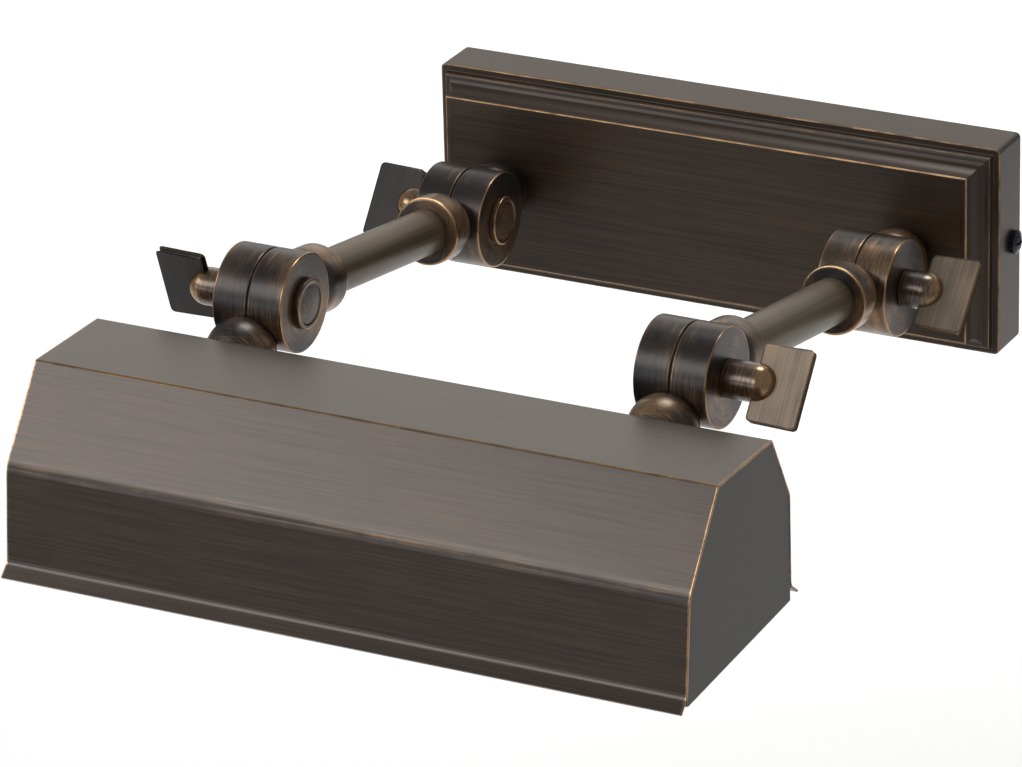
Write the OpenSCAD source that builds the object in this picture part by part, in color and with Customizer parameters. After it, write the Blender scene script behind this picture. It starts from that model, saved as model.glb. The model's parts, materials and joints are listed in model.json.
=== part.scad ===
// Wall-mounted picture light: a trough-shaped shade on two swinging arms,
// each arm held at both ends by a friction knuckle with a wing nut.
// Frame: X along the shade, Y into the wall, Z up.
// Origin: centre of the backplate, on the wall face.

/* [Backplate] */
// Width of the cover
plate_w = 241.5; // [230:0.5:270]
// Height of the cover
plate_h = 85.5; // [76:0.5:110]
// Depth of the outer rim from the wall
rim_depth = 20.7; // [18:0.1:24]
// Depth of the raised panel from the wall
panel_depth = 33.8; // [30:0.1:38]
// Step from the rim's edge in to the raised panel
panel_inset = 8.4; // [7:0.1:12]
// Width of the flat part of the rim
rim_face_w = 2.8; // [2:0.1:4]
// Height of the small step behind the cove
rim_step = 2.6; // [1:0.1:3]
// Radius of the cover's four corners
corner_r = 2; // [1.5:0.5:5]
// Sheet thickness of the cover
cover_t = 1.2; // [1:0.1:1.5]

/* [Wall fixing] */
// Distance between the two wall slots
slot_spacing = 150; // [120:5:160]
// Width of each wall slot
slot_w = 5; // [4:0.5:6]
// End-to-end length of each wall slot
slot_len = 10; // [8:1:14]
// Bore of the cable grommet
cable_bore = 8.4; // [6:0.2:10]

/* [Arms] */
// Distance between the centre planes of the two arms
arm_spacing = 173; // [160:0.5:180]
// Distance between the rear and front pivot axes
arm_len = 160.4; // [130:0.1:200]
// Rise of the arms above level, in degrees
arm_rise = 9.2; // [0:0.1:20]
// Distance from the raised panel to the rear pivot axis
rear_stand_off = 32.6; // [31:0.1:36]
// Outer diameter of the arm tubes
tube_d = 18; // [16:0.5:20]
// Wall of the arm tubes
tube_t = 1.5; // [1:0.1:2]

/* [Knuckles] */
// Diameter of the knuckle discs
disc_d = 38; // [36:0.5:40]
// Width of a closed knuckle, both halves together
knuckle_w = 28.7; // [26:0.1:30]
// Gap between the two halves, filled by the friction ring
parting = 0.8; // [0.6:0.1:1]
// Radius of the ball-shaped necks on the backplate
plate_neck_r = 13; // [12:0.1:13.5]
// Distance from the pivot axis to the centre of these balls
plate_neck_dist = 22.5; // [22:0.1:23]
// Radius of the ball-shaped necks on the arms and on the shade
arm_neck_r = 13.5; // [12:0.1:14]
// Distance from the pivot axis to the centre of these balls
arm_neck_dist = 27.5; // [26:0.1:28]
// Distance from the pivot axis to the end face that holds the tube
collar_end = 35.5; // [34:0.5:40]
// Diameter of the pivot bolts
bolt_d = 8; // [6:0.5:8]
// Diameter of the pivot bolts' button heads
button_d = 19.4; // [16:0.2:22]

/* [Wing nuts] */
// Diameter of the round stem
stem_d = 14.6; // [13:0.1:16]
// Distance from the knuckle's centre plane to a rear nut's tip
stem_tip = 30.7; // [28:0.1:34]
// Distance from the centre plane to a rear blade's inner edge
blade_in = 23.4; // [20:0.1:24]
// Distance from the centre plane to a rear blade's outer edge
blade_out = 41.2; // [40:0.1:46]
// How much further out the front nuts reach
front_reach = 3.2; // [0:0.1:4]
// Length of the blade across the axis at its outer edge
blade_len = 28.4; // [26:0.1:31]
// Thickness of the blade
blade_t = 2.8; // [2:0.1:4]
// Lean of the front left blade towards the wall, in degrees
lean_front_left = -19; // [-90:1:90]
// Lean of the front right blade towards the wall, in degrees
lean_front_right = 38; // [-90:1:90]
// Lean of the rear left blade towards the wall, in degrees
lean_rear_left = 38; // [-90:1:90]
// Lean of the rear right blade towards the wall, in degrees
lean_rear_right = 44; // [-90:1:90]

/* [Shade] */
// Length of the shade
shade_len = 275; // [262:1:300]
// Tilt of the shade, front edge down, in degrees
shade_tilt = 2.5; // [0:0.5:10]
// Depth of the top panel, front to back
top_w = 44.5; // [42:0.5:50]
// Fall of the top panel towards the back
top_fall = 2.8; // [0:0.1:4]
// Reach of the front slope
front_slope_out = 25.6; // [22:0.1:30]
// Drop of the front slope
front_slope_drop = 31.7; // [28:0.1:36]
// Lean of the lower front panel, in degrees
front_lean = 8; // [4:0.1:12]
// Reach of the rear slope
rear_slope_out = 13.4; // [12:0.1:15]
// Drop of the rear slope
rear_slope_drop = 27.6; // [26:0.1:30]
// Lean of the lower rear panel, in degrees
rear_lean = 1.7; // [0:0.1:3]
// Height of the front panel below the slope, flange left out
front_panel_h = 34.8; // [30:0.1:38]
// Height of the rear panel below the slope, flange left out
rear_panel_h = 34; // [29:0.1:36]
// Bend radius above the flared lips
flange_r = 4; // [3:0.1:6]
// Lean of the flared lips, in degrees
flange_angle = 50; // [40:1:55]
// Length of the flared lips, bend left out
lip_len = 5; // [4:0.1:7]
// Sheet thickness of the shade
shade_t = 1; // [0.8:0.1:1.2]
// Distance from the front pivot axis to the rear slope
shade_stand_off = 36.4; // [35:0.1:40]

/* [Lampholders] */
// Diameter of the lampholder's body
holder_d = 26; // [24:0.5:28]
// Length of the lampholder's body
holder_len = 42; // [38:1:46]
// Diameter of the lamp cap's thread, Edison 14 mm
lamp_thread_d = 14; // [14:0.1:14.2]

/* [Hidden] */
$fn = 96;
EPS = 0.01;
RUN = 0.05;

BRONZE = [0.29, 0.24, 0.2];
BRONZE_WORN = [0.42, 0.33, 0.26];
BRONZE_TUBE = [0.39, 0.36, 0.31];
STEEL = [0.7, 0.71, 0.72];
BLACK = [0.1, 0.1, 0.12];
BRASS = [0.78, 0.62, 0.32];
NYLON = [0.88, 0.87, 0.82];
SLEEVE = [0.55, 0.2, 0.16];

arm_x = arm_spacing / 2;
disc_r = disc_d / 2;
half_w = knuckle_w / 2;
gap = parting / 2;
bolt_r = bolt_d / 2;
bolt_bore_r = bolt_r + RUN;
tube_r = tube_d / 2;
tube_seat = collar_end - 8;
lead_bore_r = 3.5;
lead_r = 2;
pocket_depth = 9;
pocket_in_r = bolt_bore_r + 1.5;
pocket_out_r = disc_r - 4.5;
neck_clear_r = disc_r + 0.6;
foot_r = 9.5;
nipple_r = 4.95;
nipple_hole_r = 5.15;
nipple_len = 9;
nut_t = 3.5;
washer_t = 0.8;

rear_y = -(panel_depth + rear_stand_off);
rear_z = 0;
front_y = rear_y - arm_len * cos(arm_rise);
front_z = rear_z + arm_len * sin(arm_rise);
plate_dir = 0;
arm_rear_dir = 180 - arm_rise;
arm_front_dir = -arm_rise;

// Where each knuckle sits: side is -1 for the left arm and +1 for the right.
// The halves of the front knuckles face the same way on both arms.
plate_half = [1, -1];
shade_half = -1;

// ---- Outlines -------------------------------------------------------------

// The shade's outer bends from the top front corner to the rear, in the
// shade's own frame, whose origin is the front pivot axis.
slope_dir = atan2(rear_slope_out, rear_slope_drop);
foot_below_mid = 3;
slope_mid = [
    -shade_stand_off * cos(slope_dir) - foot_below_mid * sin(slope_dir),
    -shade_stand_off * sin(slope_dir) + foot_below_mid * cos(slope_dir)
];
top_rear = slope_mid + [-rear_slope_out, rear_slope_drop] / 2;
top_front = top_rear + [-top_w, top_fall];
rear_bend = top_rear + [rear_slope_out, -rear_slope_drop];
front_bend = top_front + [-front_slope_out, -front_slope_drop];
front_end = front_bend + [-front_panel_h * tan(front_lean), -front_panel_h];
rear_end = rear_bend + [-rear_panel_h * tan(rear_lean), -rear_panel_h];

FLANGE_STEPS = 6;

// Points of a flange: a bend that starts downwards, leaning out by start
// degrees, then a straight lip. side is -1 at the front and +1 at the back.
function flange(from, side, start) = [
    for (i = [1:FLANGE_STEPS + 1])
        let (
            a = start + (flange_angle - start) * min(i / FLANGE_STEPS, 1),
            lip = i > FLANGE_STEPS ? lip_len : 0
        )
        from
            + flange_r * [side * (cos(start) - cos(a)), sin(start) - sin(a)]
            + lip * [side * sin(a), -cos(a)]
];

function backwards(list) = [for (i = [len(list) - 1:-1:0]) list[i]];

shade_line = concat(
    backwards(flange(front_end, -1, front_lean)),
    [front_end, front_bend, top_front, top_rear, rear_bend, rear_end],
    flange(rear_end, 1, -rear_lean)
);

function unit(v) = v / norm(v);
function left_of(v) = [-v[1], v[0]];

// A line moved sideways by dist, with mitred corners.
function shifted(line, dist) = [
    for (i = [0:len(line) - 1])
        let (
            before = unit(line[max(i, 1)] - line[max(i, 1) - 1]),
            last = len(line) - 1,
            after = unit(line[min(i, last - 1) + 1] - line[min(i, last - 1)]),
            mid = unit(left_of(before) + left_of(after))
        )
        line[i] + mid * dist / (mid * left_of(after))
];

shade_inner = shifted(shade_line, -shade_t);
cap_bottom = min([for (p = shade_line) p[1]]);

COVE_STEPS = 6;
EDGE = 0.6;

// Half of the cover's section: distance from the middle, then depth.
function cover_side(half) = let (
        cove_start = [rim_face_w + 1, rim_depth + rim_step + 0.4],
        cove_end = [panel_inset, panel_depth - 3.1]
    )
    concat(
        [
            [half, 0],
            [half, rim_depth - EDGE],
            [half - EDGE, rim_depth],
            [half - rim_face_w, rim_depth],
            [half - rim_face_w - 0.4, rim_depth + rim_step]
        ],
        [
            for (i = [0:COVE_STEPS])
                let (t = 90 * i / COVE_STEPS)
                [
                    half - cove_start[0] - (cove_end[0] - cove_start[0]) * sin(t),
                    cove_start[1] + (cove_end[1] - cove_start[1]) * (1 - cos(t))
                ]
        ],
        [
            [half - panel_inset, panel_depth - EDGE],
            [half - panel_inset - EDGE, panel_depth]
        ]
    );

function mirrored(points) = [for (p = backwards(points)) [-p[0], p[1]]];

// ---- Placing --------------------------------------------------------------

module at_rear(side) {
    translate([side * arm_x, rear_y, rear_z]) children();
}

module at_front(side) {
    translate([side * arm_x, front_y, front_z]) children();
}

// Turns a neck that points along +Y to the given direction in the YZ plane.
module pointing(dir) {
    rotate([dir, 0, 0]) children();
}

module in_shade() {
    translate([0, front_y, front_z]) rotate([shade_tilt, 0, 0]) children();
}

// The middle of the top panel's inner face, with Z square to the panel.
module under_top() {
    mid = (top_front + top_rear) / 2;
    in_shade()
        translate([0, mid[0], mid[1]])
            rotate([-atan2(top_fall, top_w), 0, 0])
                translate([0, 0, -shade_t]) children();
}

module along_x() {
    rotate([0, 90, 0]) children();
}

module along_y() {
    rotate([-90, 0, 0]) children();
}

module hexagon(across, h) {
    cylinder(r = across / sqrt(3), h = h, $fn = 6);
}

// A round lead through the given points.
module lead(points) {
    for (i = [1:len(points) - 1])
        hull() {
            translate(points[i - 1]) sphere(r = lead_r, $fn = 12);
            translate(points[i]) sphere(r = lead_r, $fn = 12);
        }
}

// ---- Knuckles -------------------------------------------------------------

// One half of a knuckle, side -1 or +1 along the pivot axis, without its neck.
module half_disc(side) {
    edge = 0.8;
    mirror([side < 0 ? 1 : 0, 0, 0])
        along_x()
            rotate_extrude()
                polygon([
                    [0, gap], [disc_r - 0.3, gap], [disc_r, gap + 0.3],
                    [disc_r, half_w - edge], [disc_r - edge, half_w], [0, half_w]
                ]);
}

// Everything hollow in a knuckle half: bolt bore, lead pocket, lead ways.
module half_hollows(side, reach) {
    translate([side < 0 ? -half_w - 1 : -1, 0, 0])
        along_x() cylinder(r = bolt_bore_r, h = half_w + 2);
    translate([side < 0 ? -gap - pocket_depth : -1, 0, 0])
        along_x()
            difference() {
                cylinder(r = pocket_out_r, h = gap + pocket_depth + 1);
                translate([0, 0, -1]) cylinder(r = pocket_in_r, h = pocket_depth + 4);
            }
    translate([side * 6, 12, 0]) along_y() cylinder(r = lead_bore_r, h = 13);
    translate([0, disc_r + 2, 0]) along_y() cylinder(r = lead_bore_r, h = reach - disc_r);
}

// A neck's ball of radius r at dist, cut clear of the other half's disc.
module neck(side, dist, r) {
    difference() {
        union() {
            translate([0, dist, 0]) sphere(r = r);
            children();
        }
        translate([side < 0 ? -gap : gap - 2 * half_w, 0, 0])
            along_x() cylinder(r = neck_clear_r, h = 2 * half_w);
    }
}

// A knuckle half whose neck runs on as a round collar that holds the arm tube.
module arm_half(side) {
    edge = 0.6;
    collar = collar_end - arm_neck_dist;
    difference() {
        union() {
            half_disc(side);
            neck(side, arm_neck_dist, arm_neck_r)
                translate([0, arm_neck_dist, 0])
                    along_y() {
                        cylinder(r = arm_neck_r, h = collar - edge);
                        translate([0, 0, collar - edge])
                            cylinder(r1 = arm_neck_r, r2 = arm_neck_r - edge, h = edge);
                    }
        }
        half_hollows(side, collar_end);
        translate([0, tube_seat, 0]) along_y() cylinder(r = tube_r + RUN, h = 20);
        translate([0, collar_end, 0]) along_y() cylinder(r = 2 * arm_neck_r, h = 20);
    }
}

// A knuckle half whose neck stands on a sheet, with a nipple behind.
module foot_half(side, stand_off, dist, r) {
    reach = stand_off + nipple_len;
    difference() {
        union() {
            half_disc(side);
            neck(side, dist, r) {
                translate([0, dist, 0]) along_y() cylinder(r = foot_r, h = stand_off - dist);
                translate([0, stand_off - 1, 0]) along_y() cylinder(r = nipple_r, h = nipple_len + 1);
            }
        }
        half_hollows(side, reach);
        translate([0, stand_off, 0])
            along_y()
                difference() {
                    cylinder(r = 2 * r, h = 20);
                    translate([0, 0, -1]) cylinder(r = nipple_r, h = 22);
                }
    }
}

module friction_ring(side) {
    translate([side < 0 ? -gap : gap - parting + 0.1, 0, 0])
        along_x()
            difference() {
                cylinder(r = disc_r - 0.8, h = parting - 0.1);
                translate([0, 0, -1]) cylinder(r = pocket_out_r, h = 3);
            }
}

// A bolt with its button head on the given side; the thread takes a wing nut.
module pivot_bolt(side) {
    head_h = 2.6;
    mirror([side < 0 ? 1 : 0, 0, 0]) {
        translate([-half_w - 9.5, 0, 0]) along_x() cylinder(r = bolt_r, h = 2 * half_w + 9.5 + 1);
        intersection() {
            translate([half_w, 0, 0]) along_x() cylinder(d = button_d, h = head_h);
            translate([half_w + head_h - 40, 0, 0]) sphere(r = 40);
        }
    }
}

// A wing nut, its blade and tip set out by reach.
module wing_nut(side, lean, reach = 0) {
    stem_r = stem_d / 2;
    inner_len = blade_len - 1;
    inner_x = blade_in + reach;
    outer_x = blade_out + reach;
    tip = stem_tip + reach;
    corner = 0.8;
    mirror([side < 0 ? 1 : 0, 0, 0])
        rotate([-lean, 0, 0])
            difference() {
                union() {
                    translate([half_w + RUN, 0, 0])
                        along_x() cylinder(r = stem_r, h = tip - stem_r - half_w - RUN);
                    translate([tip - stem_r, 0, 0]) sphere(r = stem_r);
                    rotate([90, 0, 0])
                        linear_extrude(blade_t, center = true)
                            polygon([
                                [inner_x, -inner_len / 2],
                                [outer_x - corner, -blade_len / 2],
                                [outer_x, -blade_len / 2 + corner],
                                [outer_x, blade_len / 2 - corner],
                                [outer_x - corner, blade_len / 2],
                                [inner_x, inner_len / 2]
                            ]);
                }
                translate([half_w - 1, 0, 0])
                    along_x() cylinder(r = bolt_bore_r, h = 11);
            }
}

module locknut(flats, hole_r, h) {
    difference() {
        hexagon(flats, h);
        translate([0, 0, -1]) cylinder(r = hole_r, h = h + 2);
    }
}

module washer(r, hole_r, h) {
    difference() {
        cylinder(r = r, h = h);
        translate([0, 0, -1]) cylinder(r = hole_r, h = h + 2);
    }
}

// ---- Backplate ------------------------------------------------------------

module rounded_rect(w, h, r) {
    square([w - 2 * r, h], center = true);
    square([w, h - 2 * r], center = true);
    for (x = [-1, 1])
        for (y = [-1, 1])
            translate([x * (w / 2 - r), y * (h / 2 - r)]) circle(r = r);
}

screw_y = -0.35 * rim_depth;

module cover_outside() {
    across = cover_side(plate_w / 2);
    upright = cover_side(plate_h / 2);
    intersection() {
        linear_extrude(plate_h, center = true)
            scale([1, -1]) polygon(concat(across, mirrored(across)));
        rotate([90, 0, 90])
            linear_extrude(plate_w, center = true)
                rotate(-90) scale([-1, -1]) polygon(concat(upright, mirrored(upright)));
        rotate([90, 0, 0])
            linear_extrude(panel_depth) rounded_rect(plate_w, plate_h, corner_r);
    }
}

module backplate_cover() {
    inner = panel_inset + cover_t;
    color(BRONZE)
        difference() {
            cover_outside();
            translate([0, EPS, 0])
                rotate([90, 0, 0])
                    linear_extrude(rim_depth - cover_t + EPS)
                        rounded_rect(plate_w - 2 * cover_t, plate_h - 2 * cover_t, corner_r - cover_t);
            translate([-plate_w / 2 + inner, cover_t - panel_depth, -plate_h / 2 + inner])
                cube([plate_w - 2 * inner, panel_depth - cover_t, plate_h - 2 * inner]);
            for (side = [-1, 1]) {
                translate([side * arm_x, -panel_depth - 1, 0])
                    along_y() cylinder(r = nipple_hole_r, h = cover_t + 2);
                translate([side * plate_w / 2 - 3, screw_y, 0])
                    along_x() cylinder(r = 2.9, h = 6);
            }
        }
}

bracket_t = 1.5;
tab_x = plate_w / 2 - cover_t - 0.3;

module wall_bracket() {
    strip_h = 34;
    tab_depth = 14;
    color(STEEL)
        difference() {
            union() {
                translate([-tab_x, -bracket_t, -strip_h / 2])
                    cube([2 * tab_x, bracket_t, strip_h]);
                for (side = [-1, 1])
                    translate([side > 0 ? tab_x - bracket_t : -tab_x, -tab_depth, -strip_h / 2])
                        cube([bracket_t, tab_depth, strip_h]);
            }
            for (side = [-1, 1]) {
                translate([side * slot_spacing / 2, 1, 0])
                    rotate([90, 0, 0])
                        linear_extrude(bracket_t + 2) {
                            square([slot_len - slot_w, slot_w], center = true);
                            for (end = [-1, 1])
                                translate([end * (slot_len - slot_w) / 2, 0]) circle(d = slot_w);
                        }
                translate([side * tab_x - 3, screw_y, 0]) along_x() cylinder(r = 2.5, h = 6);
            }
            translate([0, -bracket_t - 1, 0]) along_y() cylinder(r = 7, h = bracket_t + 2);
            translate([earth_x, -bracket_t - 1, 0]) along_y() cylinder(r = 2, h = bracket_t + 2);
        }
}

// Pan-head screw whose head rests at z = 0 and whose shank points down.
module pan_screw(r, shank, head_r, head_h) {
    difference() {
        union() {
            translate([0, 0, -shank]) cylinder(r = r, h = shank + EPS);
            intersection() {
                cylinder(r = head_r, h = head_h);
                translate([0, 0, head_h - 2 * head_r]) sphere(r = 2 * head_r);
            }
        }
        for (turn = [0, 90])
            rotate(turn)
                translate([-head_r * 0.6, -head_r * 0.1, head_h * 0.45])
                    cube([head_r * 1.2, head_r * 0.2, head_h]);
    }
}

module cover_screws() {
    color(BLACK)
        for (side = [-1, 1])
            translate([side * plate_w / 2, screw_y, 0])
                rotate([0, side * 90, 0]) pan_screw(2.45, 9, 4.7, 3.2);
}

module cable_grommet() {
    color(BLACK)
        difference() {
            union() {
                translate([0, -bracket_t, 0]) along_y() cylinder(r = 6.95, h = bracket_t);
                translate([0, -bracket_t - 2, 0]) along_y() cylinder(r = 9.5, h = 2);
            }
            translate([0, -bracket_t - 3, 0]) along_y() cylinder(d = cable_bore, h = bracket_t + 4);
        }
}

earth_x = -28;
block = [34, 14, 18];
block_x = 34;
WAYS = [-1, 0, 1];
way_pitch = 10.5;
way_y = -7.5;
way_depth = 8.5;

module terminal_block() {
    color(NYLON)
        difference() {
            translate([block_x - block[0] / 2, -bracket_t - block[1], -block[2] / 2]) cube(block);
            for (way = WAYS)
                for (row = [-1, 1]) {
                    translate([block_x + way * way_pitch, way_y, row * (block[2] / 2 - way_depth / 2 + 1)])
                        cylinder(r = 2.3, h = way_depth + 2, center = true);
                    translate([block_x + way * way_pitch, -bracket_t - block[1] - 1, row * 5])
                        along_y() cylinder(r = 2, h = 6);
                }
        }
}

module terminal_screws() {
    color(BRASS)
        for (way = WAYS)
            for (row = [-1, 1])
                translate([block_x + way * way_pitch, -bracket_t - block[1] + 1, row * 5])
                    along_y()
                        difference() {
                            cylinder(r = 1.95, h = 4);
                            translate([-1.5, -0.3, -1]) cube([3, 0.6, 1.8]);
                        }
}

module earth_screw() {
    color(BRASS) {
        translate([earth_x, -bracket_t - 1, 0]) rotate([90, 0, 0]) pan_screw(1.95, 1 + bracket_t, 3.8, 2.4);
        translate([earth_x, -bracket_t - 1, 0]) along_y() washer(4.6, 1.9, 1);
    }
}

module plate_leads() {
    start_y = -panel_depth + nipple_len + 1;
    color(SLEEVE) {
        lead([
            [arm_x, start_y - 5, 0], [arm_x, start_y + 3, 0], [arm_x - 12, -12, 12],
            [block_x + way_pitch, way_y, 16], [block_x + way_pitch, way_y, 4]
        ]);
        lead([
            [-arm_x, start_y - 5, 0], [-arm_x, start_y + 3, 0], [-arm_x + 12, -12, 18],
            [0, -12, 22], [block_x, way_y, 16], [block_x, way_y, 4]
        ]);
    }
}

module earth_lead() {
    way_x = block_x - way_pitch;
    color([0.35, 0.6, 0.2])
        lead([
            [way_x, way_y, 4], [way_x, way_y, 14], [way_x - 14, -6, 16],
            [earth_x + 7, -bracket_t - lead_r - 0.2, 8], [earth_x + 4, -bracket_t - lead_r - 0.2, 4.6]
        ]);
}

module plate_knuckle(index) {
    color(BRONZE_WORN)
        at_rear(index == 0 ? -1 : 1)
            pointing(plate_dir)
                foot_half(plate_half[index], rear_stand_off, plate_neck_dist, plate_neck_r);
}

module plate_knuckle_left() {
    plate_knuckle(0);
}

module plate_knuckle_right() {
    plate_knuckle(1);
}

// Children set behind the cover, on the nipples, dist from the sheet.
module behind_cover(dist) {
    for (side = [-1, 1])
        translate([side * arm_x, -panel_depth + cover_t + dist, 0]) along_y() children();
}

module plate_lock_washers() {
    color(STEEL) behind_cover(0) washer(9, nipple_hole_r, washer_t);
}

module plate_locknuts() {
    color(BRASS) behind_cover(washer_t) locknut(14, nipple_r + RUN, nut_t);
}

module rear_friction_rings() {
    color(BLACK)
        for (index = [0, 1])
            at_rear(index == 0 ? -1 : 1) friction_ring(plate_half[index]);
}

module rear_pivot_bolts() {
    color(BRONZE_WORN)
        for (side = [-1, 1])
            at_rear(side) pivot_bolt(-side);
}

// ---- Arms -----------------------------------------------------------------

module arm_rear_knuckle_left() {
    color(BRONZE_WORN) at_rear(-1) pointing(arm_rear_dir) arm_half(-plate_half[0]);
}

module arm_rear_knuckle_right() {
    color(BRONZE_WORN) at_rear(1) pointing(arm_rear_dir) arm_half(-plate_half[1]);
}

module arm_front_knuckle_left() {
    color(BRONZE_WORN) at_front(-1) pointing(arm_front_dir) arm_half(-shade_half);
}

module arm_front_knuckle_right() {
    color(BRONZE_WORN) at_front(1) pointing(arm_front_dir) arm_half(-shade_half);
}

module arm_tube(side) {
    color(BRONZE_TUBE)
        at_rear(side)
            pointing(arm_rear_dir)
                translate([0, tube_seat, 0])
                    along_y()
                        difference() {
                            cylinder(r = tube_r, h = arm_len - 2 * tube_seat);
                            translate([0, 0, -1])
                                cylinder(r = tube_r - tube_t, h = arm_len);
                        }
}

module arm_tube_left() {
    arm_tube(-1);
}

module arm_tube_right() {
    arm_tube(1);
}

module arm_lead(side) {
    color(SLEEVE)
        at_rear(side)
            pointing(arm_rear_dir)
                translate([0, tube_seat - 3, 0])
                    along_y() cylinder(r = lead_r, h = arm_len - 2 * (tube_seat - 3));
}

module arm_lead_left() {
    arm_lead(-1);
}

module arm_lead_right() {
    arm_lead(1);
}

module front_pivot_bolt_left() {
    color(BRONZE_WORN) at_front(-1) pivot_bolt(1);
}

module front_pivot_bolt_right() {
    color(BRONZE_WORN) at_front(1) pivot_bolt(-1);
}

module wing_nut_rear_left() {
    color(BRONZE_WORN) at_rear(-1) wing_nut(-1, lean_rear_left);
}

module wing_nut_rear_right() {
    color(BRONZE_WORN) at_rear(1) wing_nut(1, lean_rear_right);
}

module wing_nut_front_left() {
    color(BRONZE_WORN) at_front(-1) wing_nut(-1, lean_front_left, front_reach);
}

module wing_nut_front_right() {
    color(BRONZE_WORN) at_front(1) wing_nut(1, lean_front_right, front_reach);
}

// ---- Shade ----------------------------------------------------------------

neck_dir = 180 + slope_dir;
stud_x = 19.5;

// Extrudes a YZ outline along X, centred on the middle plane.
module along_shade(w) {
    rotate([90, 0, 90]) linear_extrude(w, center = true) children();
}

module shade_shell() {
    color(BRONZE) {
        in_shade()
            difference() {
                along_shade(shade_len) polygon(concat(shade_line, backwards(shade_inner)));
                for (side = [-1, 1])
                    translate([side * arm_x, 0, 0])
                        pointing(neck_dir)
                            translate([0, shade_stand_off - 1, 0])
                                along_y() cylinder(r = nipple_hole_r, h = shade_t + 2);
            }
        under_top()
            for (side = [-1, 1])
                translate([side * stud_x, 0, -7]) cylinder(r = 2, h = 7 + shade_t / 2);
    }
}

module end_cap(side) {
    cap_t = 1.2;
    inset = 0.2;
    first = len(flange(front_end, -1, front_lean));
    inner = [for (i = [first:first + 5]) shade_inner[i]];
    front_foot = inner[0] + [-(inner[0][1] - cap_bottom) * tan(front_lean), cap_bottom - inner[0][1]];
    rear_foot = [inner[5][0], cap_bottom];
    color(BRONZE)
        in_shade()
            translate([side * (shade_len / 2 - inset - cap_t / 2), 0, 0])
                along_shade(cap_t)
                    polygon(concat([front_foot], inner, [rear_foot]));
}

module shade_end_cap_left() {
    end_cap(-1);
}

module shade_end_cap_right() {
    end_cap(1);
}

module shade_knuckle(side) {
    color(BRONZE_WORN)
        in_shade()
            translate([side * arm_x, 0, 0])
                pointing(neck_dir)
                    foot_half(shade_half, shade_stand_off, arm_neck_dist, arm_neck_r);
}

module shade_knuckle_left() {
    shade_knuckle(-1);
}

module shade_knuckle_right() {
    shade_knuckle(1);
}

// Children set inside the rear slope, on the nipples, dist from the sheet.
module behind_slope(dist) {
    in_shade()
        for (side = [-1, 1])
            translate([side * arm_x, 0, 0])
                pointing(neck_dir)
                    translate([0, shade_stand_off + shade_t + dist, 0]) along_y() children();
}

module shade_lock_washers() {
    color(STEEL) behind_slope(0) washer(9, nipple_hole_r, washer_t);
}

module shade_locknuts() {
    color(BRASS) behind_slope(washer_t) locknut(14, nipple_r + RUN, nut_t);
}

module front_friction_rings() {
    color(BLACK)
        for (side = [-1, 1])
            at_front(side) friction_ring(shade_half);
}

// ---- Lampholders ----------------------------------------------------------

leg_x = 14;
leg_t = 1.5;
leg_w = 26;
leg_h = 38;
lamp_drop = 27;
socket_depth = 24;

module lampholder_bracket() {
    foot_w = 2 * stud_x + 9;
    color(STEEL)
        under_top()
            difference() {
                union() {
                    translate([-foot_w / 2, -leg_w / 2, -leg_t]) cube([foot_w, leg_w, leg_t]);
                    for (side = [-1, 1])
                        translate([side * leg_x - leg_t / 2, -leg_w / 2, -leg_h])
                            cube([leg_t, leg_w, leg_h]);
                }
                for (side = [-1, 1])
                    translate([side * stud_x, 0, -3]) cylinder(r = 2.2, h = 4);
                translate([-leg_x - 3, 0, -lamp_drop])
                    along_x() cylinder(r = nipple_hole_r, h = 2 * leg_x + 6);
            }
}

module bracket_nuts() {
    color(STEEL)
        under_top()
            for (side = [-1, 1])
                translate([side * stud_x, 0, -leg_t - 3]) locknut(7, 2 + RUN, 3);
}

// A lampholder on its own axis: base at z = 0, mouth at the far end.
module lampholder() {
    color(BLACK)
        difference() {
            union() {
                translate([0, 0, -8]) cylinder(r = nipple_r, h = 9);
                cylinder(d = holder_d + 2, h = 10);
                cylinder(d = holder_d, h = holder_len);
            }
            translate([0, 0, holder_len - socket_depth]) cylinder(d = lamp_thread_d, h = socket_depth + 1);
            translate([0, 0, holder_len - socket_depth - 2.6]) cylinder(r = 3.5, h = 3);
            translate([0, 0, -9]) cylinder(r = 2.2, h = 20);
        }
}

module at_holder(side) {
    under_top()
        translate([side * (leg_x + leg_t / 2), 0, -lamp_drop])
            rotate([0, side * 90, 0]) children();
}

module lampholder_left() {
    at_holder(-1) lampholder();
}

module lampholder_right() {
    at_holder(1) lampholder();
}

module lampholder_nuts() {
    color(BRASS)
        for (side = [-1, 1])
            at_holder(side) translate([0, 0, -leg_t - nut_t]) locknut(14, nipple_r + RUN, nut_t);
}

module lampholder_contacts() {
    color(BRASS)
        for (side = [-1, 1])
            at_holder(side)
                translate([0, 0, holder_len - socket_depth - 2.6]) {
                    cylinder(r = 3.4, h = 0.8);
                    cylinder(r = 1.6, h = 2.4);
                }
}

module shade_leads() {
    tail = shade_stand_off + shade_t + nipple_len;
    fall = -atan2(top_fall, top_w);
    holder = (top_front + top_rear) / 2 + (lamp_drop + shade_t) * [sin(fall), -cos(fall)];
    color(SLEEVE)
        in_shade()
            for (side = [-1, 1])
                lead([
                    [side * arm_x, -(tail - 4) * cos(slope_dir), -(tail - 4) * sin(slope_dir)],
                    [side * arm_x, -(tail + 3) * cos(slope_dir), -(tail + 3) * sin(slope_dir)],
                    [side * (arm_x - 14), holder[0] + 20, holder[1] + 12],
                    [side * 18, holder[0] + 20, holder[1] + 6],
                    [side * 8, holder[0] + 18, holder[1]],
                    [side * 3.2, holder[0], holder[1]],
                    [side * 12, holder[0], holder[1]]
                ]);
}

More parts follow.
